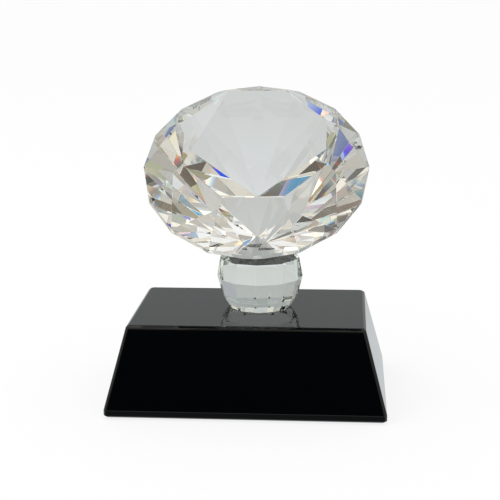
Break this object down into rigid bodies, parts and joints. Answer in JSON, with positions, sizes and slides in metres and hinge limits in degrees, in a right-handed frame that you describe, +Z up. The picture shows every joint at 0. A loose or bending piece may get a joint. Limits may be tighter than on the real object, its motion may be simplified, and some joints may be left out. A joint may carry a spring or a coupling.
{
  "type": "crystal award",
  "caption": "Award with a clear brilliant-cut crystal diamond leaning on a clear faceted ball neck, bonded to a black bevelled crystal plinth.",
  "frame": {"origin": "centre of the pad's underside, on the surface that the award stands on", "axes": "+Z up, -Y towards the front, where the diamond's table faces, +X to the right as seen from the front"},
  "size_m": [0.122, 0.083, 0.1358],
  "materials": {
    "clear_crystal": "polished optical crystal",
    "neck_crystal": "polished optical crystal",
    "black_crystal": "polished opaque black crystal",
    "adhesive": "clear cured adhesive",
    "pad": "short black felt"
  },
  "bodies": {
    "root": {"diamond": "clear_crystal", "neck_ball": "neck_crystal", "plinth": "black_crystal", "upper_bond": "adhesive", "lower_bond": "adhesive", "base_pad": "pad"}
  },
  "joints": []
}
